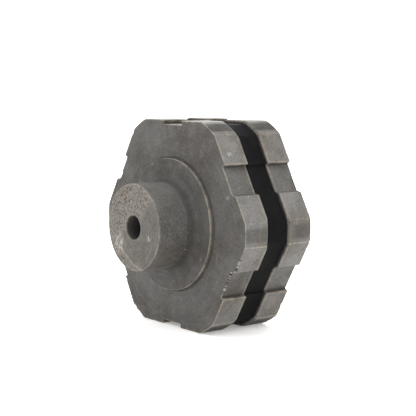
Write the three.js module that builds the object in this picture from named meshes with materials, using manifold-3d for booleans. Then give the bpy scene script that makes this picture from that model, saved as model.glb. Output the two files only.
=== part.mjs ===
// Jaw coupling: two identical cast-iron jaw hubs and the rubber element between them.
// Each flange is a hexagon whose corners are turned off round, with a shallow slot across every side.
// Millimetres, +Z up. The shaft axis is Y, the front hub points towards -Y,
// and the origin is on the shaft axis, midway between the two flanges.
import * as THREE from 'three';
import { mergeVertices } from 'three/addons/utils/BufferGeometryUtils.js';
import Module from 'manifold-3d';

// ---- driving dimensions ----
const LOBES = 6;
const TIP_RADIUS = 80;            // shaft axis to the turned crown of a corner
const FLAT_DISTANCE = 73;         // shaft axis to a side of the hexagon
const RECESS_WIDTH = 20.6;        // shallow slot across the middle of each side
const RECESS_DEPTH = 3;
const FLANGE_THICKNESS = 20.2;
const FLANGE_GAP = 18.1;          // between the two flanges' inner faces
const FLANGE_EDGE = 0.4;          // slight chamfer on the flange's edges
const CROWN_CHAMFER = 1.2;        // turned on the corners, on the inner side only

const BOSS_RADIUS = 46.6;         // raised round pad at the root of the barrel
const BOSS_HEIGHT = 3;
const BOSS_CHAMFER = 0.6;
const BARREL_RADIUS = 30.3;
const BARREL_LENGTH = 30.4;       // from the pad to the end face
const BARREL_FILLET = 7;          // between the barrel and the pad
const BARREL_CHAMFER = 0.8;
const BORE_RADIUS = 8;            // plain pilot bore, right through
const BORE_CHAMFER = 0.8;

const JAWS_PER_HUB = 3;
const JAW_INNER_RADIUS = 31;
const JAW_OUTER_RADIUS = 62;
const JAW_HALF_ANGLE = 15;        // degrees
const JAW_CORNER = 5;
const JAW_TIP_CLEARANCE = 2;      // from a jaw's end to the other hub's flange
const JAW_CHAMFER = 1;

const ELEMENT_INSET = 2.1;        // the element's rim lies this far inside the flanges' rim
const ELEMENT_RECESS_DEPTH = 1.5; // its slots are shallower than the flanges' slots
const ELEMENT_FACE_CLEARANCE = 0.5;
const ELEMENT_EDGE = 0.6;         // chamfer round both ends of the element
const ELEMENT_HOLE_RADIUS = 22;
const POCKET_CLEARANCE = 1.6;     // round a jaw, for the coupling's twist

const ARC_SEGMENTS = 5;           // per curve of an outline, twice as many on an arc
const ROUND_SEGMENTS = 48;
const CROWN_SEGMENTS = 144;
const FILLET_SEGMENTS = 5;
const OVERLAP = 1;                // how far a piece of one casting runs into its neighbour

const LOBE_PITCH = (2 * Math.PI) / LOBES;

// ---- solids from three.js geometries ----
const wasm = await Module();
wasm.setup();

function solidOf(geometry) {
  const bare = geometry.clone();
  bare.deleteAttribute('normal');
  bare.deleteAttribute('uv');
  const merged = mergeVertices(bare);
  const vertProperties = new Float32Array(merged.attributes.position.array);
  const triVerts = new Uint32Array(merged.index.array);
  return new wasm.Manifold(new wasm.Mesh({ numProp: 3, vertProperties, triVerts }));
}

function geometryOf(solid) {
  const mesh = solid.getMesh();
  const geometry = new THREE.BufferGeometry();
  geometry.setAttribute('position', new THREE.BufferAttribute(mesh.vertProperties, 3));
  geometry.setIndex(new THREE.BufferAttribute(mesh.triVerts, 1));
  geometry.computeVertexNormals();
  return geometry;
}

// An outline pulled along +Z from z = start, with chamfered edges that stay inside the outline.
function prism(outline, start, height, chamfer) {
  const geometry = new THREE.ExtrudeGeometry(outline, {
    depth: height - 2 * chamfer,
    curveSegments: ARC_SEGMENTS,
    bevelEnabled: chamfer > 0,
    bevelThickness: chamfer,
    bevelSize: chamfer,
    bevelOffset: -chamfer,
    bevelSegments: 1,
  });
  geometry.translate(0, 0, start + chamfer);
  return solidOf(geometry);
}

// A profile of [radius, height] points that starts and ends on the axis, turned about Z.
function turned(profile, segments = ROUND_SEGMENTS) {
  const points = profile.map(([radius, height]) => new THREE.Vector2(radius, height));
  const geometry = new THREE.LatheGeometry(points, segments);
  geometry.rotateX(Math.PI / 2);
  return solidOf(geometry);
}

// ---- outlines ----
const polar = (radius, angle) => new THREE.Vector2(radius * Math.cos(angle), radius * Math.sin(angle));

// A hexagon with corners on the lobe axes and a slot across the middle of each side.
function slottedHexagon(flatDistance, recess) {
  const half = RECESS_WIDTH / 2;
  const outline = new THREE.Shape();
  for (let lobe = 0; lobe < LOBES; lobe++) {
    const side = (lobe + 0.5) * LOBE_PITCH;
    const corners = [polar(flatDistance / Math.cos(LOBE_PITCH / 2), lobe * LOBE_PITCH)];
    for (const [distance, along] of [
      [flatDistance, -half],
      [flatDistance - recess, -half],
      [flatDistance - recess, half],
      [flatDistance, half],
    ]) {
      corners.push(polar(distance, side).add(polar(along, side + Math.PI / 2)));
    }
    corners.forEach((corner, k) =>
      lobe + k === 0 ? outline.moveTo(corner.x, corner.y) : outline.lineTo(corner.x, corner.y),
    );
  }
  outline.closePath();
  return outline;
}

// A turned disc from z = start, with its own chamfer at each end.
function disc(radius, start, height, lowChamfer, highChamfer) {
  const end = start + height;
  return turned([
    [0, start],
    [radius - lowChamfer, start],
    [radius, start + lowChamfer],
    [radius, end - highChamfer],
    [radius - highChamfer, end],
    [0, end],
  ], CROWN_SEGMENTS);
}

// A round-cornered sector of a ring, grown by an even clearance on every side.
function sectorOutline(Kind, angle, clearance) {
  const inner = JAW_INNER_RADIUS - clearance;
  const outer = JAW_OUTER_RADIUS + clearance;
  const half = THREE.MathUtils.degToRad(JAW_HALF_ANGLE);
  const corner = JAW_CORNER + clearance;
  const spread = (radius) => half + clearance / radius;
  const outerHalf = spread(outer);
  const innerHalf = spread(inner);
  const outline = new Kind();
  outline.absarc(0, 0, outer, angle - outerHalf + corner / outer, angle + outerHalf - corner / outer, false);
  const round = (control, end) => outline.quadraticCurveTo(control.x, control.y, end.x, end.y);
  const line = (end) => outline.lineTo(end.x, end.y);
  round(polar(outer, angle + outerHalf), polar(outer - corner, angle + spread(outer - corner)));
  line(polar(inner + corner, angle + spread(inner + corner)));
  round(polar(inner, angle + innerHalf), polar(inner, angle + innerHalf - corner / inner));
  outline.absarc(0, 0, inner, angle + innerHalf - corner / inner, angle - innerHalf + corner / inner, true);
  round(polar(inner, angle - innerHalf), polar(inner + corner, angle - spread(inner + corner)));
  line(polar(outer - corner, angle - spread(outer - corner)));
  round(polar(outer, angle - outerHalf), polar(outer, angle - outerHalf + corner / outer));
  outline.closePath();
  return outline;
}

// ---- one hub: inner flange face at z = 0, barrel towards +Z, jaws towards -Z ----
function hubSolid() {
  const padFace = FLANGE_THICKNESS + BOSS_HEIGHT;
  const endFace = padFace + BARREL_LENGTH;

  const hexagon = slottedHexagon(FLAT_DISTANCE, RECESS_DEPTH);
  const flange = prism(hexagon, 0, FLANGE_THICKNESS, FLANGE_EDGE)
    .intersect(disc(TIP_RADIUS, 0, FLANGE_THICKNESS, CROWN_CHAMFER, FLANGE_EDGE));

  const barrelProfile = [
    [0, FLANGE_THICKNESS - OVERLAP],
    [BOSS_RADIUS, FLANGE_THICKNESS - OVERLAP],
    [BOSS_RADIUS, padFace - BOSS_CHAMFER],
    [BOSS_RADIUS - BOSS_CHAMFER, padFace],
  ];
  for (let step = 0; step <= FILLET_SEGMENTS; step++) {
    const angle = (Math.PI / 2) * (step / FILLET_SEGMENTS);
    barrelProfile.push([
      BARREL_RADIUS + BARREL_FILLET * (1 - Math.sin(angle)),
      padFace + BARREL_FILLET * (1 - Math.cos(angle)),
    ]);
  }
  barrelProfile.push(
    [BARREL_RADIUS, endFace - BARREL_CHAMFER],
    [BARREL_RADIUS - BARREL_CHAMFER, endFace],
    [0, endFace],
  );

  const bore = turned([
    [0, -OVERLAP],
    [BORE_RADIUS + BORE_CHAMFER + OVERLAP, -OVERLAP],
    [BORE_RADIUS, BORE_CHAMFER],
    [BORE_RADIUS, endFace - BORE_CHAMFER],
    [BORE_RADIUS + BORE_CHAMFER + OVERLAP, endFace + OVERLAP],
    [0, endFace + OVERLAP],
  ]);

  let hub = flange.add(turned(barrelProfile));
  const jawLength = FLANGE_GAP - JAW_TIP_CLEARANCE;
  for (let jaw = 0; jaw < JAWS_PER_HUB; jaw++) {
    const angle = (2 * Math.PI * jaw) / JAWS_PER_HUB;
    const outline = sectorOutline(THREE.Shape, angle, 0);
    hub = hub.add(prism(outline, -jawLength, jawLength + FLANGE_THICKNESS / 2, JAW_CHAMFER));
  }
  return hub.subtract(bore);
}

// ---- the element: a rubber block with a pocket behind every corner, centred on z = 0 ----
function elementSolid() {
  const thickness = FLANGE_GAP - 2 * ELEMENT_FACE_CLEARANCE;
  const outline = slottedHexagon(FLAT_DISTANCE - ELEMENT_INSET, ELEMENT_RECESS_DEPTH);
  for (let pocket = 0; pocket < LOBES; pocket++) {
    outline.holes.push(sectorOutline(THREE.Path, pocket * LOBE_PITCH, POCKET_CLEARANCE));
  }
  const centreHole = new THREE.Path();
  centreHole.absarc(0, 0, ELEMENT_HOLE_RADIUS, 0, 2 * Math.PI, true);
  outline.holes.push(centreHole);
  const crown = TIP_RADIUS - ELEMENT_INSET;
  return prism(outline, -thickness / 2, thickness, ELEMENT_EDGE)
    .intersect(disc(crown, -thickness / 2, thickness, ELEMENT_EDGE, ELEMENT_EDGE));
}

// ---- materials ----
const castIron = () => new THREE.MeshStandardMaterial({ color: 0x6b6862, roughness: 0.6, metalness: 0.55 });
const blackRubber = () => new THREE.MeshStandardMaterial({ color: 0x1c1c1d, roughness: 0.75, metalness: 0 });

// ---- assembly ----
const coupling = new THREE.Group();

const hubGeometry = geometryOf(hubSolid());
for (const [name, turn] of [['front_hub', 0], ['back_hub', Math.PI]]) {
  const mesh = new THREE.Mesh(hubGeometry, castIron());
  mesh.name = name;
  mesh.rotation.x = Math.PI / 2;
  mesh.position.y = -FLANGE_GAP / 2;
  const half = new THREE.Group();
  half.rotation.z = turn;
  half.add(mesh);
  coupling.add(half);
}

const element = new THREE.Mesh(geometryOf(elementSolid()), blackRubber());
element.name = 'rubber_element';
element.rotation.x = Math.PI / 2;
coupling.add(element);

export default coupling;
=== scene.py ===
import math

import bmesh
import bpy
import numpy as np
from mathutils import Matrix, Vector, noise
from mathutils.geometry import tessellate_polygon


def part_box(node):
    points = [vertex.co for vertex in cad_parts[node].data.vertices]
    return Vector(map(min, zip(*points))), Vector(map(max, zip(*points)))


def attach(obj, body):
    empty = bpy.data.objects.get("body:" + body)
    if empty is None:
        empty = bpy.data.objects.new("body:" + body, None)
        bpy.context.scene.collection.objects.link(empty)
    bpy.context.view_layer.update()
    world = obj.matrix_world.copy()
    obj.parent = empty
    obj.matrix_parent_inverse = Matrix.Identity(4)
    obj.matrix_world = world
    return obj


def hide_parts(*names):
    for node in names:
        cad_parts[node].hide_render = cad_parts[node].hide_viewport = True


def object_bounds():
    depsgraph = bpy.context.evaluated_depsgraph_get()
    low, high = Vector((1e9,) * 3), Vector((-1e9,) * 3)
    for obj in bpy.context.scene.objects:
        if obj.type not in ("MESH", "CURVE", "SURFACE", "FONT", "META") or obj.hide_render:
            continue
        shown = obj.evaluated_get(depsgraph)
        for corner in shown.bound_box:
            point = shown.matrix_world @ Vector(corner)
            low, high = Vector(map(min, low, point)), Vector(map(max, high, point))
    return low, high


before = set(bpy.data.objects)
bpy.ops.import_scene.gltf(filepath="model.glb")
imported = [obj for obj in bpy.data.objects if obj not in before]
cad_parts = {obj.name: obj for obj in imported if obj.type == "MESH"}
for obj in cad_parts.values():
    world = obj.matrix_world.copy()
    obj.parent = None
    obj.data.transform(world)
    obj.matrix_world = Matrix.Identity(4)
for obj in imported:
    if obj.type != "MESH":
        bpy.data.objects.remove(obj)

CAD_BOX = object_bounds()

# ---------------------------------------------------------------------------
# Sizes, in metres. The shaft axis is Y, and every hub section is described by
# a radius from that axis and a height above the flange's inner face.
# ---------------------------------------------------------------------------
MM = 0.001
FRONT_LOW, FRONT_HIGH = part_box("front_hub")
ELEMENT_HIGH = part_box("rubber_element")[1]

SKIN = 0.06 * MM                      # keeps the smooth surfaces inside the faceted CAD bodies
SIDES = 6
PITCH = 2 * math.pi / SIDES
CROWN_RADIUS = FRONT_HIGH.x - SKIN    # the hexagon's corners are turned off at this radius
FLAT_DISTANCE = FRONT_HIGH.z - SKIN
RECESS_WIDTH = 20.6 * MM
RECESS_DEPTH = 3 * MM
SLOT_EDGE = 0.45 * MM                 # rounding where a slot's walls meet its bottom and the sides
CROWN_BLEND = 8 * MM                  # rounding between a corner's turned crown and the sides
SLOPED_WALL = 2.4 * MM                # the slots' walls beside one corner lean back by this much
FACE_CLEARANCE = 0.5 * MM             # between the element and each flange
FLANGE_INNER_Y = ELEMENT_HIGH.y + FACE_CLEARANCE
FLANGE_THICKNESS = 20.2 * MM
FLANGE_EDGE = 0.45 * MM
CROWN_CHAMFER = 1.25 * MM             # turned on the corners, on the side facing the element
PAD_RADIUS = 46.6 * MM - SKIN
PAD_HEIGHT = 3 * MM
PAD_EDGE = 0.4 * MM
BARREL_RADIUS = 30.3 * MM - SKIN
BARREL_FILLET = 7 * MM
BARREL_EDGE = 0.6 * MM
BORE_RADIUS = 8 * MM + SKIN
BORE_EDGE = 0.8 * MM
HUB_HEIGHT = -FRONT_LOW.y - FLANGE_INNER_Y - SKIN
HUB_SPACING = 1.02 * MM               # between points; closer, the exporter thins the hubs' meshes
LEAST_STEP = math.radians(0.08)       # between two neighbouring points of a circle

JAWS_PER_HUB = 3
JAW_INNER_RADIUS = 31 * MM + SKIN
JAW_OUTER_RADIUS = 62 * MM - SKIN
JAW_HALF_ANGLE = math.radians(15)
JAW_CORNER = 5 * MM
JAW_EDGE = 1 * MM
JAW_LENGTH = FRONT_HIGH.y + FLANGE_INNER_Y - SKIN
JAW_ROOT = 4 * MM                     # how far a jaw's own mesh runs into the flange
JAW_SPACING = 2 * MM

POCKET_CLEARANCE = 1.6 * MM
ELEMENT_HALF = ELEMENT_HIGH.y - SKIN
ELEMENT_CROWN = ELEMENT_HIGH.x - SKIN
ELEMENT_FLAT = ELEMENT_HIGH.z - SKIN
ELEMENT_RECESS_DEPTH = 1.5 * MM
ELEMENT_HOLE_RADIUS = 22 * MM + SKIN
ELEMENT_EDGE = 0.7 * MM
ELEMENT_CREST = 2 * MM                # rounding between its turned corners and its sides
ELEMENT_WAIST = 0.6 * MM              # the moulded rim is this much hollower halfway across
ELEMENT_INNER_EDGE = 0.4 * MM         # round the pockets and the centre hole
ELEMENT_SPACING = 1.5 * MM
SHARP = math.radians(50)              # edges that turn by more than this aren't shaded smooth


# ---------------------------------------------------------------------------
# Outlines in the plane of the flanges: x is the part's X, y is the part's Z
# ---------------------------------------------------------------------------
def polar(radius, angle):
    return np.array([radius * math.cos(angle), radius * math.sin(angle)])


def unit(vector):
    return vector / np.linalg.norm(vector)


def rounded_corner(corner, radius, before, after, spacing):
    """Points and outward normals round one corner. before and after point to its neighbours."""
    if radius == 0:
        side = after - before
        return [corner], [unit(np.array([side[1], -side[0]]))]
    opening = math.acos(np.clip(before @ after, -1, 1))
    reach = radius / math.tan(opening / 2)
    centre = corner + unit(before + after) * radius / math.sin(opening / 2)
    start, end = corner + before * reach, corner + after * reach
    facing = 1 if before[0] * after[1] - before[1] * after[0] < 0 else -1
    first = math.atan2(*(start - centre)[::-1])
    sweep = math.atan2(*(end - centre)[::-1]) - first
    sweep = (sweep + math.pi) % (2 * math.pi) - math.pi
    steps = max(3, math.ceil(abs(sweep) * radius / spacing))
    outs = [polar(1, first + sweep * k / steps) for k in range(steps + 1)]
    return [centre + radius * out for out in outs], [facing * out for out in outs]


def rounded_polygon(corners, spacing):
    """Points round a counter-clockwise polygon of (corner, rounding radius), and their outward normals."""
    count = len(corners)
    arcs = []
    for i, (corner, radius) in enumerate(corners):
        before = unit(corners[i - 1][0] - corner)
        after = unit(corners[(i + 1) % count][0] - corner)
        arcs.append(rounded_corner(corner, radius, before, after, spacing))
    points, normals = [], []
    for i, (arc_points, arc_normals) in enumerate(arcs):
        points += arc_points
        normals += arc_normals
        line = arcs[(i + 1) % count][0][0] - arc_points[-1]
        along = unit(line)
        steps = max(1, round(np.linalg.norm(line) / spacing))
        for k in range(1, steps):
            points.append(arc_points[-1] + line * k / steps)
            normals.append(np.array([along[1], -along[0]]))
    return np.array(points), np.array(normals)


def arc_corners(radius, start, end, steps, end_rounding):
    """An arc as polygon corners. Only its two ends are rounded."""
    angles = [start + (end - start) * k / steps for k in range(steps + 1)]
    return [(polar(radius, angle), end_rounding if k in (0, steps) else 0) for k, angle in enumerate(angles)]


def flange_outline(crown, flat, recess, crest, spacing, sloped=None):
    """A hexagon with turned corners and a slot across each side. Corner number sloped, if there is one,
    has sloped slot walls on both sides of it."""
    half = RECESS_WIDTH / 2
    crown_half = PITCH / 2 - math.acos(flat / crown)
    corners = []
    for corner in range(SIDES):
        axis = corner * PITCH
        side = axis + PITCH / 2
        corners += arc_corners(crown, axis - crown_half, axis + crown_half, 6, crest)
        before = half + SLOPED_WALL * (corner == sloped)
        after = half + SLOPED_WALL * ((corner + 1) % SIDES == sloped)
        bottom = flat - recess
        for distance, along in ((flat, -before), (bottom, -half), (bottom, half), (flat, after)):
            corners.append((polar(distance, side) + polar(along, side + math.pi / 2), SLOT_EDGE))
    return rounded_polygon(corners, spacing)


def sector_outline(angle, clearance, spacing):
    """The round-cornered section of a jaw, grown by a clearance on every side for its pocket."""
    inner, outer = JAW_INNER_RADIUS - clearance, JAW_OUTER_RADIUS + clearance
    rounding = JAW_CORNER + clearance
    corners = []
    for radius, turns in ((outer, 1), (inner, -1)):
        half = turns * (JAW_HALF_ANGLE + clearance / radius)
        arc_half = half - turns * 1.2 * rounding / radius  # stops short of the rounded corners
        corners.append((polar(radius, angle - half), rounding))
        corners += arc_corners(radius, angle - arc_half, angle + arc_half, 8, 0)
        corners.append((polar(radius, angle + half), rounding))
    return rounded_polygon(corners, spacing)


# ---------------------------------------------------------------------------
# Meshes. Each hub vertex carries four values for the iron's material: wear (rubbed light edges),
# painted shade (darkening painted where shade falls: corners, recesses, the bore and between the parts),
# bare (machined rather than cast), scuff (pale marks).
# ---------------------------------------------------------------------------
def mesh_object(name, vertices, faces, surface=None):
    mesh = bpy.data.meshes.new(name)
    mesh.from_pydata([tuple(v) for v in vertices], [], faces)
    if surface is not None:
        colours = mesh.color_attributes.new("surface", "FLOAT_COLOR", "POINT")
        colours.data.foreach_set("color", surface.astype(np.float32).ravel())
    face_outwards(mesh)
    obj = bpy.data.objects.new(name, mesh)
    bpy.context.scene.collection.objects.link(obj)
    return obj


def face_outwards(mesh):
    work = bmesh.new()
    work.from_mesh(mesh)
    bmesh.ops.recalc_face_normals(work, faces=work.faces)
    work.to_mesh(mesh)
    work.free()
    mesh.shade_smooth()


def ring_faces(first, second, count):
    """Quads between two rings of count vertices that start at the given indices."""
    return [
        (first + k, first + (k + 1) % count, second + (k + 1) % count, second + k)
        for k in range(count)
    ]


def arc_steps(steps):
    """(sine, 1 - cosine) pairs over a quarter turn, without the first."""
    angles = [math.pi / 2 * (k + 1) / steps for k in range(steps)]
    return [(math.sin(a), 1 - math.cos(a)) for a in angles]


def even(start, end, spacing):
    """Evenly spaced values after start, up to and including end."""
    steps = max(1, round(abs(end - start) / spacing))
    return [start + (end - start) * (k + 1) / steps for k in range(steps)]


def smooth(value, low, high):
    share = np.clip((value - low) / (high - low), 0, 1)
    return share * share * (3 - 2 * share)


def wavy(points, scale, seed):
    """Smooth noise from 0 to 1 at each (x, z, height) point."""
    shift = Vector((seed * 3.1, seed * 1.7, seed * 2.3))
    return np.array([0.5 + 0.5 * noise.noise(Vector(p) * scale + shift) for p in points])


class HubRings:
    """Collects the closed rings of one hub's surface, each an array of (x, z, height) points."""

    def __init__(self, sloped):
        self.outline, self.normals = flange_outline(
            CROWN_RADIUS, FLAT_DISTANCE, RECESS_DEPTH, CROWN_BLEND, HUB_SPACING, sloped)
        self.count = len(self.outline)
        self.rings, self.surface = [], []
        angles = self.spread_angles()
        self.directions = np.stack([np.cos(angles), np.sin(angles)], 1)
        self.mark_outline(angles, sloped)

    def spread_angles(self):
        """Each point's angle, moved where needed so that no two of them come too close together."""
        angles = np.unwrap(np.arctan2(self.outline[:, 1], self.outline[:, 0]))
        steps = np.maximum(np.diff(np.append(angles, angles[0] + 2 * math.pi)), LEAST_STEP)
        steps *= 2 * math.pi / steps.sum()
        return angles[0] + np.concatenate([[0], np.cumsum(steps)[:-1]])

    def mark_outline(self, angles, sloped):
        """How far each point is in a slot, on its wall, in its corner, on its crest, or on a crown's seam."""
        outward = self.outline / np.linalg.norm(self.outline, axis=1)[:, None]
        self.wall = 1 - smooth((outward * self.normals).sum(1), 0.35, 0.75)
        side = np.round((angles - PITCH / 2) / PITCH) * PITCH + PITCH / 2
        along = np.abs((self.outline * np.stack([-np.sin(side), np.cos(side)], 1)).sum(1))
        distance = (self.outline * np.stack([np.cos(side), np.sin(side)], 1)).sum(1)
        past_wall = along - RECESS_WIDTH / 2
        past_seam = along - math.sqrt(CROWN_RADIUS ** 2 - FLAT_DISTANCE ** 2)
        from_sloped = np.abs((angles - sloped * PITCH + math.pi) % (2 * math.pi) - math.pi)
        square = from_sloped > PITCH / 2
        self.slot = smooth(FLAT_DISTANCE - distance, 0.3 * RECESS_DEPTH, 0.7 * RECESS_DEPTH)
        self.crest = square * (1 - self.slot) * (1 - smooth(np.abs(past_wall), 0.2 * MM, 0.7 * MM))
        self.corner = square * self.slot * smooth(past_wall, -1.6 * MM, -0.5 * MM)
        self.seam = 1 - smooth(np.abs(past_seam), 0.2 * MM, 0.6 * MM)
        self.seam *= np.where(self.outline[:, 1] < 0, 0.6, 0.2)

    def add(self, flat_points, height, wear=0.0, dirt=0.0, bare=0.0):
        heights = np.full((self.count, 1), height)
        self.rings.append(np.hstack([flat_points, heights]))
        tags = [np.broadcast_to(tag, self.count) for tag in (wear, dirt, bare, 0.0)]
        self.surface.append(np.stack(tags, 1))

    def circle(self, radius, height, **tags):
        self.add(self.directions * radius, height, **tags)

    def rim(self, inset, height, edge_wear=0.0):
        """A ring of the flange's rim, kept inside the turned crown and its chamfer."""
        points = self.outline - self.normals * inset
        limit = CROWN_RADIUS - max(0, CROWN_CHAMFER - height)
        reach = np.linalg.norm(points, axis=1)
        chamfer = (reach > limit) * (height < CROWN_CHAMFER)
        points = points * np.minimum(1, limit / reach)[:, None]
        wear = np.maximum(edge_wear, np.maximum(0.6 * self.crest, self.seam))
        # Painted shade on the slots' walls and in their inner corners, and on the chamfer that faces the
        # element.
        dirt = np.maximum(np.maximum(self.wall, 0.75 * self.corner), 0.8 * chamfer)
        self.add(points, height, wear=wear, dirt=dirt, bare=0.9 - 0.75 * self.slot)

    def between(self, radius, share, height, **tags):
        """A ring this share of the way from a circle to the flange's outline."""
        outer = self.outline - self.normals * FLANGE_EDGE
        self.add(self.directions * radius * (1 - share) + outer * share, height, **tags)


def add_bore_and_barrel(rings):
    """From the bore's inner mouth, through the bore, over the end face and down to the pad."""
    end, pad_face = HUB_HEIGHT, FLANGE_THICKNESS + PAD_HEIGHT
    # The bore's inside gets painted shade.
    for height in [BORE_EDGE] + even(BORE_EDGE, end - BORE_EDGE, 6 * MM):
        rings.circle(BORE_RADIUS, height, dirt=0.75)
    mouth = BORE_RADIUS + BORE_EDGE
    rings.circle(mouth, end, wear=0.3, bare=1)
    for radius in even(mouth, BARREL_RADIUS - BARREL_EDGE, 0.85 * MM):
        rings.circle(radius, end, bare=1)
    for sine, drop in arc_steps(4):
        radius = BARREL_RADIUS - BARREL_EDGE * (1 - sine)
        rings.circle(radius, end - BARREL_EDGE * drop, wear=0.5 - 0.3 * drop, bare=0.6)
    for height in even(end - BARREL_EDGE, pad_face + BARREL_FILLET, 1.1 * MM):
        rings.circle(BARREL_RADIUS, height, bare=0.25)
    # Painted shade in the hollow of the fillet between the barrel and the pad, darkest halfway round it.
    for sine, drop in arc_steps(9):
        dirt = 0.3 + 0.55 * math.sin(math.pi * sine) ** 2
        radius = BARREL_RADIUS + BARREL_FILLET * drop
        rings.circle(radius, pad_face + BARREL_FILLET * (1 - sine), dirt=dirt)


def add_pad(rings):
    """The pad's face, its edge and the rounding at its foot."""
    pad_face = FLANGE_THICKNESS + PAD_HEIGHT
    # Faint painted shade on the pad's face beside the barrel, and painted shade in the crease at the pad's
    # foot.
    for radius in even(BARREL_RADIUS + BARREL_FILLET, PAD_RADIUS - PAD_EDGE, 1.1 * MM):
        rings.circle(radius, pad_face, dirt=0.15)
    for sine, drop in arc_steps(3):
        rings.circle(PAD_RADIUS - PAD_EDGE * (1 - sine), pad_face - PAD_EDGE * drop, wear=0.65)
    for sine, drop in [(0, 0)] + arc_steps(3):
        height = FLANGE_THICKNESS + PAD_EDGE * (1 - sine)
        rings.circle(PAD_RADIUS + PAD_EDGE * drop, height, dirt=0.6)


def add_flange(rings):
    """The flange's outer face, its rim and its inner face, which the jaws are joined to later."""
    root = PAD_RADIUS + PAD_EDGE
    # Painted shade in the crease where the flange's outer face meets the pad.
    for share in [0.02, 0.05] + even(0.05, 0.93, 0.036) + [0.95, 0.965, 0.98, 0.99]:
        dirt, wear = 0.6 * (share < 0.04), 0.15 * (share > 0.985)
        rings.between(root, share, FLANGE_THICKNESS, dirt=dirt, wear=wear)
    for k, (sine, drop) in enumerate([(0, 0)] + arc_steps(4)):
        height = FLANGE_THICKNESS - FLANGE_EDGE * drop
        rings.rim(FLANGE_EDGE * (1 - sine), height, edge_wear=0.8 - 0.15 * k)
    top = FLANGE_THICKNESS - FLANGE_EDGE
    high, low = top - 2 * MM, 1.9 * MM  # the rings lie closer together outside these two heights
    for height in even(top, high, 0.5 * MM) + even(high, low, 0.95 * MM):
        rings.rim(0, height)
    for height in even(low, FLANGE_EDGE, 0.24 * MM):
        rings.rim(0, height, edge_wear=0.2)
    for sine, drop in arc_steps(4):
        rings.rim(FLANGE_EDGE * drop, FLANGE_EDGE * (1 - sine), edge_wear=0.6 * drop)
    # The inner face, which faces the element across a narrow gap, gets painted shade.
    inner_steps = 17
    for step in range(inner_steps + 1):
        share = 0.985 * (1 - step / inner_steps)
        rings.between(BORE_RADIUS + BORE_EDGE, share, 0, dirt=0.8)


# What knocks have left on the front hub: a run of chips along the flange's outer edge, in degrees,
# and pale scuffs, which a seeded draw scatters over the outside.
CHIPPED_RUN = (-36, -12)
SCUFF_COUNT = 9
SCUFF_REACH = (0.8 * MM, 2 * MM)


def faces_along_shaft(height, radius):
    """Which points lie on the end face, the pad's face or the flange's outer face."""
    facing = np.zeros(len(height), bool)
    for level, low, high in (
        (HUB_HEIGHT, 0, BARREL_RADIUS),
        (FLANGE_THICKNESS + PAD_HEIGHT, BARREL_RADIUS, PAD_RADIUS),
        (FLANGE_THICKNESS, PAD_RADIUS + PAD_EDGE, CROWN_RADIUS),
    ):
        facing |= (np.abs(height - level) < 0.02 * MM) & (radius > low) & (radius < high)
    return facing


def sunk(rings, seed, chipped):
    """A hub's points and surface values. The skin is sunk a little, as a worn casting's is, and the
    flange's outer edge is nicked. Pieces are broken out of that edge where the hub is chipped."""
    points = np.array(rings.rings)
    flat = points.reshape(-1, 3)
    surface = np.array(rings.surface).reshape(-1, 4)
    height = flat[:, 2]
    radius = np.hypot(flat[:, 0], flat[:, 1])
    sink = 0.14 * MM * wavy(flat, 60, seed) + 0.05 * MM * wavy(flat, 400, seed + 5)
    sink[(height < 0.3 * MM) | (radius < BORE_RADIUS + 1.2 * BORE_EDGE)] = 0
    facing = faces_along_shaft(height, radius)

    rim = np.column_stack([rings.outline, np.zeros(rings.count)])
    nicks = 0.45 * MM * smooth(wavy(rim, 260, seed + 11), 0.62, 0.8)
    ragged = wavy(rim, 1100, seed + 9)
    broken = np.zeros(rings.count)
    if chipped:
        angles = np.degrees(np.arctan2(rim[:, 1], rim[:, 0]))
        broken = smooth(angles, CHIPPED_RUN[0] - 2, CHIPPED_RUN[0] + 2)
        broken *= 1 - smooth(angles, CHIPPED_RUN[1] - 1, CHIPPED_RUN[1] + 1)
    depth = nicks + 1.5 * MM * broken * smooth(ragged, 0.42, 0.62)
    ragged, broken, depth = (np.tile(row, len(points)) for row in (ragged, broken, depth))
    outline = np.tile(rings.outline, (len(points), 1))
    to_edge = np.hypot(np.linalg.norm(outline - flat[:, :2], axis=1), FLANGE_THICKNESS - height)
    depth *= 1 - smooth(to_edge, 0.3 * MM, 1.8 * MM)
    broken *= 1 - smooth(to_edge, 0.5 * MM, 1.7 * MM)
    surface[:, 0] *= 1 - broken * smooth(ragged, 0.45, 0.55)
    surface[:, 0] = np.maximum(surface[:, 0], broken * (1 - smooth(ragged, 0.40, 0.50)))
    # The deeper parts of a chip get painted shade.
    surface[:, 1] = np.maximum(surface[:, 1], broken * smooth(ragged, 0.54, 0.64))

    inward = np.where(facing, 0, sink) + 0.7 * depth
    flat[:, 2] -= np.where(facing, sink, 0) + 0.7 * depth
    flat[:, :2] *= (1 - inward / np.maximum(radius, MM))[:, None]
    return flat, surface


def scuff(points, surface, seed):
    """Marks pale scuffs at random places on the outside of a hub."""
    draw = np.random.default_rng(seed)
    outer = np.hypot(points[:, 0], points[:, 1]) > 2 * BORE_RADIUS
    outside = np.flatnonzero(outer & (points[:, 2] > 0.4 * FLANGE_THICKNESS))
    for place in points[draw.choice(outside, SCUFF_COUNT, replace=False)]:
        reach = draw.uniform(*SCUFF_REACH)
        far = np.linalg.norm(points - place, axis=1)
        surface[:, 3] = np.maximum(surface[:, 3], 1 - smooth(far, 0.5 * reach, 1.5 * reach))


def hub_body(name, seed, chipped, sloped):
    """A hub without its jaws. Its rings close on themselves, from the bore round the outside and back."""
    rings = HubRings(sloped)
    add_bore_and_barrel(rings)
    add_pad(rings)
    add_flange(rings)
    points, surface = sunk(rings, seed, chipped)
    if chipped:
        scuff(points, surface, seed)
    count, total = rings.count, len(rings.rings)
    faces = []
    for k in range(total):
        faces += ring_faces(k * count, (k + 1) % total * count, count)
    return mesh_object(name, points, faces, surface)


# The surface values of a jaw and of the flange's inner face: wear, painted shade, bare and scuff. Both sit
# between the parts, so both get painted shade.
JAW_SURFACE = (0, 0.4, 0.3, 0)
INNER_FACE_SURFACE = (0, 0.8, 0, 0)


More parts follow.
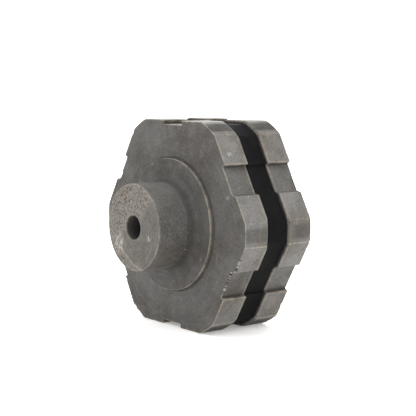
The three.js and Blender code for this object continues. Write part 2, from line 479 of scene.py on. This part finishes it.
def capped_prism(name, outline, normals, sections):
    """A solid between the first and last of its (inset, height) sections, closed by flat caps."""
    count = len(outline)
    vertices = []
    for inset, height in sections:
        vertices += [(*point, height) for point in outline - normals * inset]
    faces = []
    for k in range(len(sections) - 1):
        faces += ring_faces(k * count, (k + 1) * count, count)
    faces.append(tuple(range(count)))
    faces.append(tuple(range((len(sections) - 1) * count, len(sections) * count)))
    return mesh_object(name, vertices, faces, np.tile(JAW_SURFACE, (len(vertices), 1)))


def join_solid(target, tool):
    """Adds one closed solid to another and deletes the tool."""
    modifier = target.modifiers.new("join", "BOOLEAN")
    modifier.operation = "UNION"
    modifier.solver = "EXACT"
    modifier.object = tool
    bpy.context.view_layer.objects.active = target
    bpy.ops.object.modifier_apply(modifier=modifier.name)
    bpy.data.objects.remove(tool, do_unlink=True)


def shade_inner_face(mesh):
    """Gives the flange's inner face, with the seams that the jaws' joining left on it, one painted shade."""
    places = np.empty(len(mesh.vertices) * 3)
    mesh.vertices.foreach_get("co", places)
    places = places.reshape(-1, 3)
    surface = mesh.color_attributes["surface"]
    values = np.empty(len(mesh.vertices) * 4)
    surface.data.foreach_get("color", values)
    values = values.reshape(-1, 4)
    level = np.abs(places[:, 2]) < 0.1 * MM
    inside = np.hypot(places[:, 0], places[:, 1]) < FLAT_DISTANCE - RECESS_WIDTH / 4
    values[level & inside] = INNER_FACE_SURFACE
    surface.data.foreach_set("color", values.ravel())


def make_hub(name, node, body, turn, seed, chipped):
    """One hub, built along its own height and then stood up, with its shaft along the part's Y."""
    corner_towards_x = round(turn / PITCH)
    hub = hub_body(name, seed, chipped, corner_towards_x)
    tip = JAW_EDGE - JAW_LENGTH
    sections = [(0, height) for height in [JAW_ROOT] + even(JAW_ROOT, tip, 4 * MM)]
    sections += [(JAW_EDGE * drop, tip - JAW_EDGE * sine) for sine, drop in arc_steps(3)]
    for jaw in range(JAWS_PER_HUB):
        outline, normals = sector_outline(jaw * 2 * math.pi / JAWS_PER_HUB, 0, JAW_SPACING)
        join_solid(hub, capped_prism(f"{name}_jaw", outline, normals, sections))
    shade_inner_face(hub.data)
    upright = Matrix(((1, 0, 0, 0), (0, 0, -1, -FLANGE_INNER_Y), (0, 1, 0, 0), (0, 0, 0, 1)))
    hub.data.transform(Matrix.Rotation(turn, 4, "Z") @ upright)
    face_outwards(hub.data)
    hub.data.set_sharp_from_angle(angle=SHARP)
    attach(hub, body)
    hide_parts(node)
    return hub


def element_sections(edge, waist):
    """(inset, height) pairs from one face of the element to the other, for one of its walls."""
    flat_part = ELEMENT_HALF - edge
    sections = [(edge * (1 - sine), -ELEMENT_HALF + edge * drop) for sine, drop in [(0, 0)] + arc_steps(4)]
    for height in even(-flat_part, flat_part, 1.2 * MM):
        sections.append((waist * (1 - (height / flat_part) ** 2), height))
    return sections + [(edge * drop, flat_part + edge * sine) for sine, drop in arc_steps(4)]


def make_element():
    """The rubber block. Its first loop is the rim, the others are the pockets and the centre hole."""
    crest, spacing = ELEMENT_CREST, ELEMENT_SPACING
    loops = [flange_outline(ELEMENT_CROWN, ELEMENT_FLAT, ELEMENT_RECESS_DEPTH, crest, spacing)]
    for pocket in range(SIDES):
        loops.append(sector_outline(pocket * PITCH, POCKET_CLEARANCE + SKIN, spacing))
    circle = np.array([polar(1, 2 * math.pi * k / 96) for k in range(96)])
    loops.append((circle * ELEMENT_HOLE_RADIUS, circle))

    vertices, faces = [], []
    caps = ([], [])
    for index, (outline, normals) in enumerate(loops):
        if index == 0:
            outward, sections = 1, element_sections(ELEMENT_EDGE, ELEMENT_WAIST)
        else:
            outward, sections = -1, element_sections(ELEMENT_INNER_EDGE, 0)
        count = len(outline)
        base = len(vertices)
        for inset, height in sections:
            for x, z in outline - normals * inset * outward:
                vertices.append((x, height, z))
        for k in range(len(sections) - 1):
            faces += ring_faces(base + k * count, base + (k + 1) * count, count)
        last = base + (len(sections) - 1) * count
        for cap, first in zip(caps, (base, last)):
            cap.append(range(first, first + count))
    for rings in caps:
        flat_loops = [[Vector((vertices[i][0], vertices[i][2], 0)) for i in ring] for ring in rings]
        lookup = [i for ring in rings for i in ring]
        faces += [tuple(lookup[i] for i in triangle) for triangle in tessellate_polygon(flat_loops)]

    element = mesh_object("element_rubber", vertices, faces)
    element.data.set_sharp_from_angle(angle=SHARP)
    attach(element, "element")
    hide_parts("rubber_element")
    return element


# ---------------------------------------------------------------------------
# Materials
# ---------------------------------------------------------------------------
# Colours, as linear red, green and blue. All but the rubber's two are the iron's.
CAST_DARK, CAST_LIGHT = (0.039, 0.034, 0.029), (0.073, 0.0705, 0.067)
CAST_BLOTCH = (0.085, 0.077, 0.065)
TURNED_DARK, TURNED_LIGHT = (0.034, 0.031, 0.028), (0.103, 0.097, 0.088)
MACHINED_DARK, MACHINED_LIGHT = (0.082, 0.072, 0.059), (0.142, 0.139, 0.135)
MACHINED_BLOTCH = (0.158, 0.142, 0.118)
FACED_DARK, FACED_LIGHT = (0.058, 0.0535, 0.045), (0.090, 0.084, 0.072)
PITTED = (0.135, 0.122, 0.103)
PIT, PIT_RIM = (0.036, 0.030, 0.025), (0.27, 0.225, 0.170)
GRAIN_DARK, GRAIN_LIGHT = (0.028, 0.025, 0.022), (0.17, 0.163, 0.150)
COLD_DARK, COLD_LIGHT = (0.034, 0.035, 0.036), (0.128, 0.134, 0.140)
LIP = (0.30, 0.25, 0.190)
SCRAPED = (0.36, 0.34, 0.31)
# Painted shade: the dark colour laid in the hubs' corners, recesses, bore and faces between the parts.
PAINTED_SHADE_COLOUR = (0.021, 0.019, 0.017)
RUBBED = (0.33, 0.285, 0.225)
SCUFFED = (0.33, 0.32, 0.30)
RUBBER_DARK, RUBBER_LIGHT = (0.0045, 0.0045, 0.0050), (0.0080, 0.0080, 0.0085)


def new_material(name):
    material = bpy.data.materials.new(name)
    material.use_nodes = True
    return material, material.node_tree.nodes["Principled BSDF"]


class Shading:
    """A new material, with short ways to add the kinds of node that the hubs and the element use."""

    def __init__(self, name):
        self.material, self.shader = new_material(name)
        self.nodes = self.material.node_tree.nodes
        self.links = self.material.node_tree.links
        self.place = self.nodes.new("ShaderNodeTexCoord").outputs["Object"]

    def noise(self, scale, detail, roughness=0.6, place=None):
        texture = self.nodes.new("ShaderNodeTexNoise")
        texture.inputs["Scale"].default_value = scale
        texture.inputs["Detail"].default_value = detail
        texture.inputs["Roughness"].default_value = roughness
        self.links.new(self.place if place is None else place, texture.inputs["Vector"])
        return texture.outputs["Fac"]

    def stretched(self, scales, turn):
        """The object's coordinates, scaled along its axes and turned."""
        mapping = self.nodes.new("ShaderNodeMapping")
        mapping.inputs["Scale"].default_value = scales
        mapping.inputs["Rotation"].default_value = turn
        self.links.new(self.place, mapping.inputs["Vector"])
        return mapping.outputs["Vector"]

    def fade(self, value, start, end, at_start=0.0, at_end=1.0):
        """Maps start..end to at_start..at_end, smoothly and clamped."""
        step = self.nodes.new("ShaderNodeMapRange")
        step.interpolation_type = "SMOOTHSTEP"
        numbers = {"From Min": start, "From Max": end, "To Min": at_start, "To Max": at_end}
        for socket, number in numbers.items():
            step.inputs[socket].default_value = number
        self.links.new(value, step.inputs["Value"])
        return step.outputs["Result"]

    def blend(self, share, first, second):
        """The first colour where share is 0, the second where it is 1."""
        mix = self.nodes.new("ShaderNodeMix")
        mix.data_type = "RGBA"
        self.links.new(share, mix.inputs["Factor"])
        for socket, colour in ((mix.inputs[6], first), (mix.inputs[7], second)):
            if isinstance(colour, tuple):
                socket.default_value = (*colour, 1)
            else:
                self.links.new(colour, socket)
        return mix.outputs[2]

    def calculate(self, operation, *values):
        node = self.nodes.new("ShaderNodeMath")
        node.operation = operation
        for socket, value in zip(node.inputs, values):
            if isinstance(value, (int, float)):
                socket.default_value = value
            else:
                self.links.new(value, socket)
        return node.outputs["Value"]

    def times(self, first, second):
        return self.calculate("MULTIPLY", first, second)

    def plus(self, first, second):
        return self.calculate("ADD", first, second)

    def larger(self, first, second):
        return self.calculate("MAXIMUM", first, second)

    def wander(self, noise, span):
        """A noise made into a length that goes up and down about nought, within this span."""
        return self.times(self.plus(noise, -0.5), span)

    def spots(self, place, scale, reach, keep):
        """Small round spots in some of the cells of a random grid: 1 on a spot, 0 elsewhere."""
        cells = self.nodes.new("ShaderNodeTexVoronoi")
        cells.inputs["Scale"].default_value = scale
        self.links.new(place, cells.inputs["Vector"])
        split = self.nodes.new("ShaderNodeSeparateColor")
        self.links.new(cells.outputs["Color"], split.inputs["Color"])
        spot = self.fade(cells.outputs["Distance"], reach, 0.4 * reach)
        return self.times(spot, self.calculate("GREATER_THAN", split.outputs["Red"], 1 - keep))

    def bump(self, height, strength, distance):
        bump = self.nodes.new("ShaderNodeBump")
        bump.inputs["Strength"].default_value = strength
        bump.inputs["Distance"].default_value = distance
        self.links.new(height, bump.inputs["Height"])
        self.links.new(bump.outputs["Normal"], self.shader.inputs["Normal"])


class CastIron(Shading):
    """The hubs' iron. Its colour is laid on in layers, each over the skin that it is given."""

    def __init__(self):
        super().__init__("hub_cast_iron")
        surface = self.nodes.new("ShaderNodeAttribute")
        surface.attribute_name = "surface"
        split = self.nodes.new("ShaderNodeSeparateColor")
        self.links.new(surface.outputs["Color"], split.inputs["Color"])
        self.wear, self.dirt, self.bare = (split.outputs[channel] for channel in ("Red", "Green", "Blue"))
        self.scuff = surface.outputs["Alpha"]
        axes = self.nodes.new("ShaderNodeSeparateXYZ")
        self.links.new(self.place, axes.inputs["Vector"])
        self.east, self.along, self.high = axes.outputs
        self.from_shaft = self.distance(0, 0)
        self.broad = self.noise(30, 4)
        self.blotch = self.noise(130, 5, 0.65)
        self.grain = self.noise(750, 4, 0.7)
        self.turned = self.tool_marks()
        self.mark_end_face()

        skin = self.used(self.worn_end(self.speckled_barrel(self.metal())))
        self.links.new(skin, self.shader.inputs["Base Color"])
        self.shader.inputs["Metallic"].default_value = 0.1
        self.shader.inputs["Specular IOR Level"].default_value = 0.36
        roughness = self.plus(self.fade(self.blotch, 0.3, 0.7, 0.70, 0.57), self.times(self.dirt, 0.2))
        self.links.new(roughness, self.shader.inputs["Roughness"])
        self.bump(self.relief(), 0.7, 0.3 * MM)

    def distance(self, across, up):
        """Distance from a line along the shaft, at (across, up)."""
        x, z = self.plus(self.east, -across), self.plus(self.high, -up)
        return self.calculate("SQRT", self.plus(self.times(x, x), self.times(z, z)))

    def tool_marks(self):
        """Noise drawn out into marks that run round the shaft."""
        turning = self.nodes.new("ShaderNodeCombineXYZ")
        self.links.new(self.from_shaft, turning.inputs["X"])
        angle = self.calculate("ARCTAN2", self.high, self.east)
        self.links.new(self.times(angle, 6 * MM), turning.inputs["Y"])
        self.links.new(self.times(self.along, 0.15), turning.inputs["Z"])
        return self.noise(420, 4, 0.65, turning.outputs["Vector"])

    def mark_end_face(self):
        """The barrel's end face is faced smooth towards one side and pitted towards the other. Beyond an
        arc it is pitted too, in a crescent, and low down a pale lip runs along that arc."""
        end_face = FLANGE_INNER_Y + HUB_HEIGHT
        level = self.calculate("ABSOLUTE", self.along)
        self.on_end = self.fade(level, end_face - 1.5 * MM, end_face - 0.9 * MM)
        from_centre = self.plus(self.distance(24 * MM, 24 * MM), self.wander(self.blotch, 3 * MM))
        self.crescent = self.fade(from_centre, 55 * MM, 56.4 * MM)
        lip = self.fade(from_centre, 53.6 * MM, 54.6 * MM)
        lip = self.times(lip, self.fade(from_centre, 56 * MM, 55 * MM))
        self.lip = self.times(lip, self.fade(self.high, -8 * MM, -20 * MM))
        to_pits = self.plus(self.high, self.times(self.east, -0.8))
        to_pits = self.plus(to_pits, self.wander(self.broad, 26 * MM))
        pitted = self.larger(self.fade(to_pits, -2 * MM, 10 * MM), self.crescent)
        self.pitted = self.times(self.on_end, pitted)
        self.pits = self.fade(self.noise(760, 3, 0.6), 0.49, 0.38)

    def metal(self):
        """Cast or machined metal, as the surface says, then the faced end, with a grain over all of it."""
        cast = self.blend(self.fade(self.broad, 0.32, 0.68), CAST_DARK, CAST_LIGHT)
        cast = self.blend(self.fade(self.blotch, 0.48, 0.72, 0, 0.6), cast, CAST_BLOTCH)
        cast = self.blend(self.fade(self.turned, 0.52, 0.70, 0, 0.40), cast, TURNED_LIGHT)
        cast = self.blend(self.fade(self.turned, 0.46, 0.30, 0, 0.40), cast, TURNED_DARK)
        machined = self.blend(self.fade(self.broad, 0.3, 0.7), MACHINED_DARK, MACHINED_LIGHT)
        machined = self.blend(self.fade(self.blotch, 0.48, 0.72, 0, 0.6), machined, MACHINED_BLOTCH)
        skin = self.blend(self.bare, cast, machined)
        faced = self.blend(self.fade(self.turned, 0.35, 0.65), FACED_DARK, FACED_LIGHT)
        faced = self.blend(self.pitted, faced, PITTED)
        skin = self.blend(self.times(self.on_end, 0.9), skin, faced)
        skin = self.blend(self.fade(self.grain, 0.54, 0.72, 0, 0.45), skin, GRAIN_LIGHT)
        return self.blend(self.fade(self.grain, 0.47, 0.30, 0, 0.75), skin, GRAIN_DARK)

    def speckled_barrel(self, skin):
        """Cold, coarse speckle in a band along the barrel's sides."""
        inner = self.fade(self.from_shaft, BARREL_RADIUS - 1.2 * MM, BARREL_RADIUS - 0.6 * MM)
        outer = self.fade(self.from_shaft, BARREL_RADIUS + 1.6 * MM, BARREL_RADIUS + 0.8 * MM)
        band = self.times(self.times(inner, outer), self.fade(self.on_end, 0.5, 0.1))
        height = self.plus(self.high, self.wander(self.broad, 60 * MM))
        band = self.times(band, self.fade(height, -20 * MM, -6 * MM))
        band = self.times(band, self.fade(height, 24 * MM, 12 * MM))
        speckle = self.noise(680, 4, 0.75)
        skin = self.blend(self.times(band, self.fade(speckle, 0.50, 0.64, 0, 0.5)), skin, COLD_LIGHT)
        return self.blend(self.times(band, self.fade(speckle, 0.46, 0.36, 0, 0.5)), skin, COLD_DARK)

    def worn_end(self, skin):
        """The end face's pits and their pale rims, its lip, and the scrapes beside the bore."""
        rims = self.fade(self.noise(620, 3, 0.6), 0.54, 0.66)
        skin = self.blend(self.times(self.pitted, self.times(self.pits, 0.9)), skin, PIT)
        skin = self.blend(self.times(self.pitted, self.times(rims, 0.55)), skin, PIT_RIM)
        skin = self.blend(self.times(self.on_end, self.times(self.lip, 0.35)), skin, LIP)
        streaks = self.noise(260, 4, 0.7, self.stretched((2.6, 1, 1), (0, 0.35, 0)))
        beside_bore = self.fade(self.distance(-16 * MM, -12 * MM), 9 * MM, 3 * MM)
        scrape = self.times(self.fade(streaks, 0.40, 0.62), beside_bore)
        return self.blend(self.times(self.on_end, self.times(scrape, 0.75)), skin, SCRAPED)

    def used(self, skin):
        """Painted shade in corners, recesses, the bore and between the parts, rubbed edges, pale flecks and
        scuffs.
        """
        # Painted shade, broken up a little by the blotches.
        shade_share = self.times(self.dirt, self.fade(self.blotch, 0.2, 0.6, 1.0, 0.8))
        skin = self.blend(shade_share, skin, PAINTED_SHADE_COLOUR)
        mottle = self.plus(self.blotch, self.times(self.grain, 0.6))
        rubbed = self.times(self.wear, self.fade(mottle, 0.60, 0.92, 0.22, 1.0))
        skin = self.blend(rubbed, skin, RUBBED)
        specks = self.spots(self.place, 75, 0.05, 0.4)
        flecks = self.spots(self.stretched((1, 1, 0.28), (0.3, 0.25, 0)), 130, 0.07, 0.22)
        scuffs = self.times(self.scuff, self.fade(self.grain, 0.40, 0.62))
        pale = self.larger(self.times(self.larger(specks, flecks), 0.5), self.times(scuffs, 0.8))
        return self.blend(pale, skin, SCUFFED)

    def relief(self):
        """The bump map's height. Grain, blotches and tool marks raise it, pits and the crescent lower it."""
        height = self.plus(self.times(self.grain, 0.6), self.times(self.noise(2200, 3, 0.7), 0.3))
        height = self.plus(height, self.times(self.blotch, 0.7))
        height = self.plus(height, self.times(self.turned, 0.5))
        height = self.plus(height, self.times(self.pitted, self.times(self.pits, -1.2)))
        return self.plus(height, self.times(self.on_end, self.times(self.crescent, -1.5)))


def black_rubber():
    rubber = Shading("element_black_rubber")
    cloud = rubber.noise(60, 4)
    colour = rubber.blend(rubber.fade(cloud, 0.35, 0.7), RUBBER_DARK, RUBBER_LIGHT)
    rubber.links.new(colour, rubber.shader.inputs["Base Color"])
    rubber.shader.inputs["Specular IOR Level"].default_value = 0.03
    rubber.links.new(rubber.fade(cloud, 0.3, 0.7, 0.62, 0.74), rubber.shader.inputs["Roughness"])
    rubber.bump(rubber.noise(1200, 4, 0.6), 0.2, 0.1 * MM)
    return rubber.material


# ---------------------------------------------------------------------------
# Camera, light and floor
# ---------------------------------------------------------------------------
# The camera was fitted to the photograph. Its distance is in metres, its lens and sensor in millimetres.
CAMERA_AZIMUTH = math.radians(51.42)
CAMERA_ELEVATION = math.radians(7.14)
CAMERA_ROLL = math.radians(0.48)
CAMERA_DISTANCE = 0.8346
LENS = 100.4
SENSOR = 36
FRAME_SHIFT = (0.0085, 0.0314)
WORLD_STRENGTH = 1.6
FLOOR_HALF = 6.0
FLOOR_COLOUR, FLOOR_GLOW = (0.94, 0.935, 0.93, 1), (1, 0.99, 0.98, 1)


def make_camera():
    back = Vector((
        math.sin(CAMERA_AZIMUTH) * math.cos(CAMERA_ELEVATION),
        -math.cos(CAMERA_AZIMUTH) * math.cos(CAMERA_ELEVATION),
        math.sin(CAMERA_ELEVATION)))
    level = Vector((math.cos(CAMERA_AZIMUTH), math.sin(CAMERA_AZIMUTH), 0))
    up = back.cross(level)
    right = level * math.cos(CAMERA_ROLL) + up * math.sin(CAMERA_ROLL)
    up = back.cross(right)
    data = bpy.data.cameras.new("camera")
    data.lens = LENS
    data.sensor_width = SENSOR
    data.shift_x, data.shift_y = FRAME_SHIFT
    data.clip_start = 0.05
    camera = bpy.data.objects.new("camera", data)
    bpy.context.scene.collection.objects.link(camera)
    turned = Matrix((right, up, back)).transposed().to_4x4()
    camera.matrix_world = Matrix.Translation(back * CAMERA_DISTANCE) @ turned
    bpy.context.scene.camera = camera


def area_light(name, place, size, power):
    """A square softbox that faces the coupling."""
    data = bpy.data.lights.new(name, "AREA")
    data.shape = "SQUARE"
    data.size = size
    data.energy = power
    light = bpy.data.objects.new(name, data)
    bpy.context.scene.collection.objects.link(light)
    light.location = place
    light.rotation_euler = (-Vector(place)).to_track_quat("-Z", "Y").to_euler()


def make_floor():
    """A pale floor under the coupling. A weak glow of its own lightens the shadow on it."""
    half, bottom = FLOOR_HALF, CAD_BOX[0].z
    corners = [(-half, -half, bottom), (half, -half, bottom), (half, half, bottom), (-half, half, bottom)]
    floor = mesh_object("floor", corners, [(0, 1, 2, 3)])
    material, shader = new_material("pale_floor")
    shader.inputs["Base Color"].default_value = FLOOR_COLOUR
    shader.inputs["Roughness"].default_value = 0.9
    shader.inputs["Emission Color"].default_value = FLOOR_GLOW
    shader.inputs["Emission Strength"].default_value = 0.25
    floor.data.materials.append(material)


def make_light():
    """An even white world, and two softboxes."""
    scene = bpy.context.scene
    scene.view_settings.view_transform = "Standard"
    scene.world = bpy.data.worlds.new("studio")
    scene.world.use_nodes = True
    background = scene.world.node_tree.nodes["Background"]
    background.inputs["Color"].default_value = (1, 1, 1, 1)
    background.inputs["Strength"].default_value = WORLD_STRENGTH
    area_light("top_softbox", (0.0, 0.15, 1.2), size=1.0, power=8)
    area_light("back_softbox", (-0.85, 0.75, 0.42), size=0.9, power=9)


# ---------------------------------------------------------------------------
# The object
# ---------------------------------------------------------------------------
make_camera()
make_floor()
make_light()

iron = CastIron().material
front = make_hub("hub_front", "front_hub", "front_half", turn=0, seed=1, chipped=True)
front.data.materials.append(iron)
back = make_hub("hub_back", "back_hub", "back_half", turn=math.pi, seed=2, chipped=False)
back.data.materials.append(iron)
make_element().data.materials.append(black_rubber())
